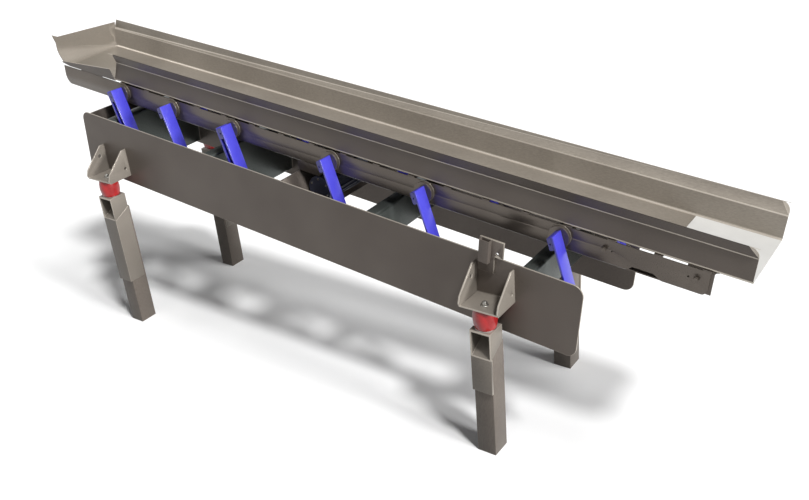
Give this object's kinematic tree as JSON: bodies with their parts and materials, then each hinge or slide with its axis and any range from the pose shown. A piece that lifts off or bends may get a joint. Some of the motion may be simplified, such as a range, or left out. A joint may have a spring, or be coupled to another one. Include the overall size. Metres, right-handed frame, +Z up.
{
  "type": "vibrating conveyor",
  "caption": "Inclined vibrating conveyor: shallow steel trough on side rails, carried by blue leaf arms on a plate frame with rubber-mounted square legs.",
  "frame": {"origin": "on the floor, midway between the feed and discharge legs, on the machine's centre plane", "axes": "+X along the machine towards the discharge end, +Y towards the far side, +Z up"},
  "size_m": [3.0904, 0.714, 1.2841],
  "materials": {
    "bead_blasted_steel": "bead-blasted stainless steel",
    "sheet_steel": "fine matt stainless sheet",
    "blue_leaf": "blue glass-fibre laminate",
    "blue_hub": "blue painted block",
    "red_rubber": "smooth red rubber",
    "white_plate": "smooth white plastic",
    "fastener_steel": "bright steel",
    "cast_housing": "painted casting"
  },
  "bodies": {
    "legs": {"near_feed_leg": "bead_blasted_steel", "far_feed_leg": "bead_blasted_steel", "near_discharge_leg": "bead_blasted_steel", "far_discharge_leg": "bead_blasted_steel", "feed_leg_heads": "bead_blasted_steel", "discharge_leg_heads": "bead_blasted_steel", "near_feed_isolator": "red_rubber", "far_feed_isolator": "red_rubber", "near_discharge_isolator": "red_rubber", "far_discharge_isolator": "red_rubber"},
    "frame": {"near_side_plate": "bead_blasted_steel", "far_side_plate": "bead_blasted_steel", "cross_channels": "bead_blasted_steel", "feed_end_plate": "bead_blasted_steel", "frame_bosses": "bead_blasted_steel", "drive_plate": "bead_blasted_steel", "feed_foot_brackets": "bead_blasted_steel", "discharge_foot_brackets": "bead_blasted_steel", "stay_bracket": "bead_blasted_steel", "drive_guard": "bead_blasted_steel", "lower_pivot_bolts": "fastener_steel", "isolator_bolts": "fastener_steel", "drive_motor": "cast_housing", "motor_covers": "cast_housing"},
    "bed": {"trough": "sheet_steel", "near_rail": "bead_blasted_steel", "far_rail": "bead_blasted_steel", "bed_cross_tubes": "bead_blasted_steel", "rail_bosses": "bead_blasted_steel", "trough_bars": "bead_blasted_steel", "slip_plate": "white_plate", "upper_pivot_bolts": "blue_hub"},
    "rotor": {"motor_shaft": "fastener_steel", "eccentric_weights": "cast_housing"},
    "arms_1": {"near_arm_1": "blue_leaf", "far_arm_1": "blue_leaf", "arm_hubs_1": "blue_hub", "rear_arms_1": "blue_leaf"},
    "arms_2": {"near_arm_2": "blue_leaf", "far_arm_2": "blue_leaf", "arm_hubs_2": "blue_hub"},
    "arms_3": {"near_arm_3": "blue_leaf", "far_arm_3": "blue_leaf", "arm_hubs_3": "blue_hub", "rear_arms_3": "blue_leaf"},
    "arms_4": {"near_arm_4": "blue_leaf", "far_arm_4": "blue_leaf", "arm_hubs_4": "blue_hub"},
    "arms_5": {"near_arm_5": "blue_leaf", "far_arm_5": "blue_leaf", "arm_hubs_5": "blue_hub"},
    "arms_6": {"near_arm_6": "blue_leaf", "far_arm_6": "blue_leaf", "arm_hubs_6": "blue_hub"}
  },
  "joints": [
    {"name": "frame_ride", "type": "slide", "parent": "legs", "child": "frame", "axis": [0, 0, 1], "range_m": [-0.003, 0.003], "stiffness_N_per_m": 1200000, "springref_m": 0.00163, "deforming": ["near_feed_isolator", "far_feed_isolator", "near_discharge_isolator", "far_discharge_isolator"]},
    {"name": "bed_stroke", "type": "slide", "parent": "frame", "child": "bed", "axis": [0.9632, 0, 0.2689], "range_m": [-0.008, 0.008], "stiffness_N_per_m": 400000, "springref_m": 0.00057},
    {"name": "rotor_spin", "type": "hinge", "parent": "frame", "child": "rotor", "pos_m": [0.12137, 0, 0.79124], "axis": [0, 1, 0], "continuous": true},
    {"name": "arm_rock_1", "type": "hinge", "parent": "frame", "child": "arms_1", "pos_m": [-0.84683, 0, 0.83392], "axis": [0, 1, 0], "range_deg": [-2, 2]},
    {"name": "arm_rock_2", "type": "hinge", "parent": "frame", "child": "arms_2", "pos_m": [-0.5487, 0, 0.80048], "axis": [0, 1, 0], "range_deg": [-2, 2]},
    {"name": "arm_rock_3", "type": "hinge", "parent": "frame", "child": "arms_3", "pos_m": [-0.20783, 0, 0.76225], "axis": [0, 1, 0], "range_deg": [-2, 2]},
    {"name": "arm_rock_4", "type": "hinge", "parent": "frame", "child": "arms_4", "pos_m": [0.28806, 0, 0.70662], "axis": [0, 1, 0], "range_deg": [-2, 2]},
    {"name": "arm_rock_5", "type": "hinge", "parent": "frame", "child": "arms_5", "pos_m": [0.70047, 0, 0.66036], "axis": [0, 1, 0], "range_deg": [-2, 2]},
    {"name": "arm_rock_6", "type": "hinge", "parent": "frame", "child": "arms_6", "pos_m": [1.21723, 0, 0.6024], "axis": [0, 1, 0], "range_deg": [-2, 2]}
  ],
  "couplings": [
    {"joint": "arm_rock_1", "follows": "bed_stroke", "rad_per_m": 4.1667},
    {"joint": "arm_rock_2", "follows": "bed_stroke", "rad_per_m": 4.1667},
    {"joint": "arm_rock_3", "follows": "bed_stroke", "rad_per_m": 4.1667},
    {"joint": "arm_rock_4", "follows": "bed_stroke", "rad_per_m": 4.1667},
    {"joint": "arm_rock_5", "follows": "bed_stroke", "rad_per_m": 4.1667},
    {"joint": "arm_rock_6", "follows": "bed_stroke", "rad_per_m": 4.1667}
  ]
}
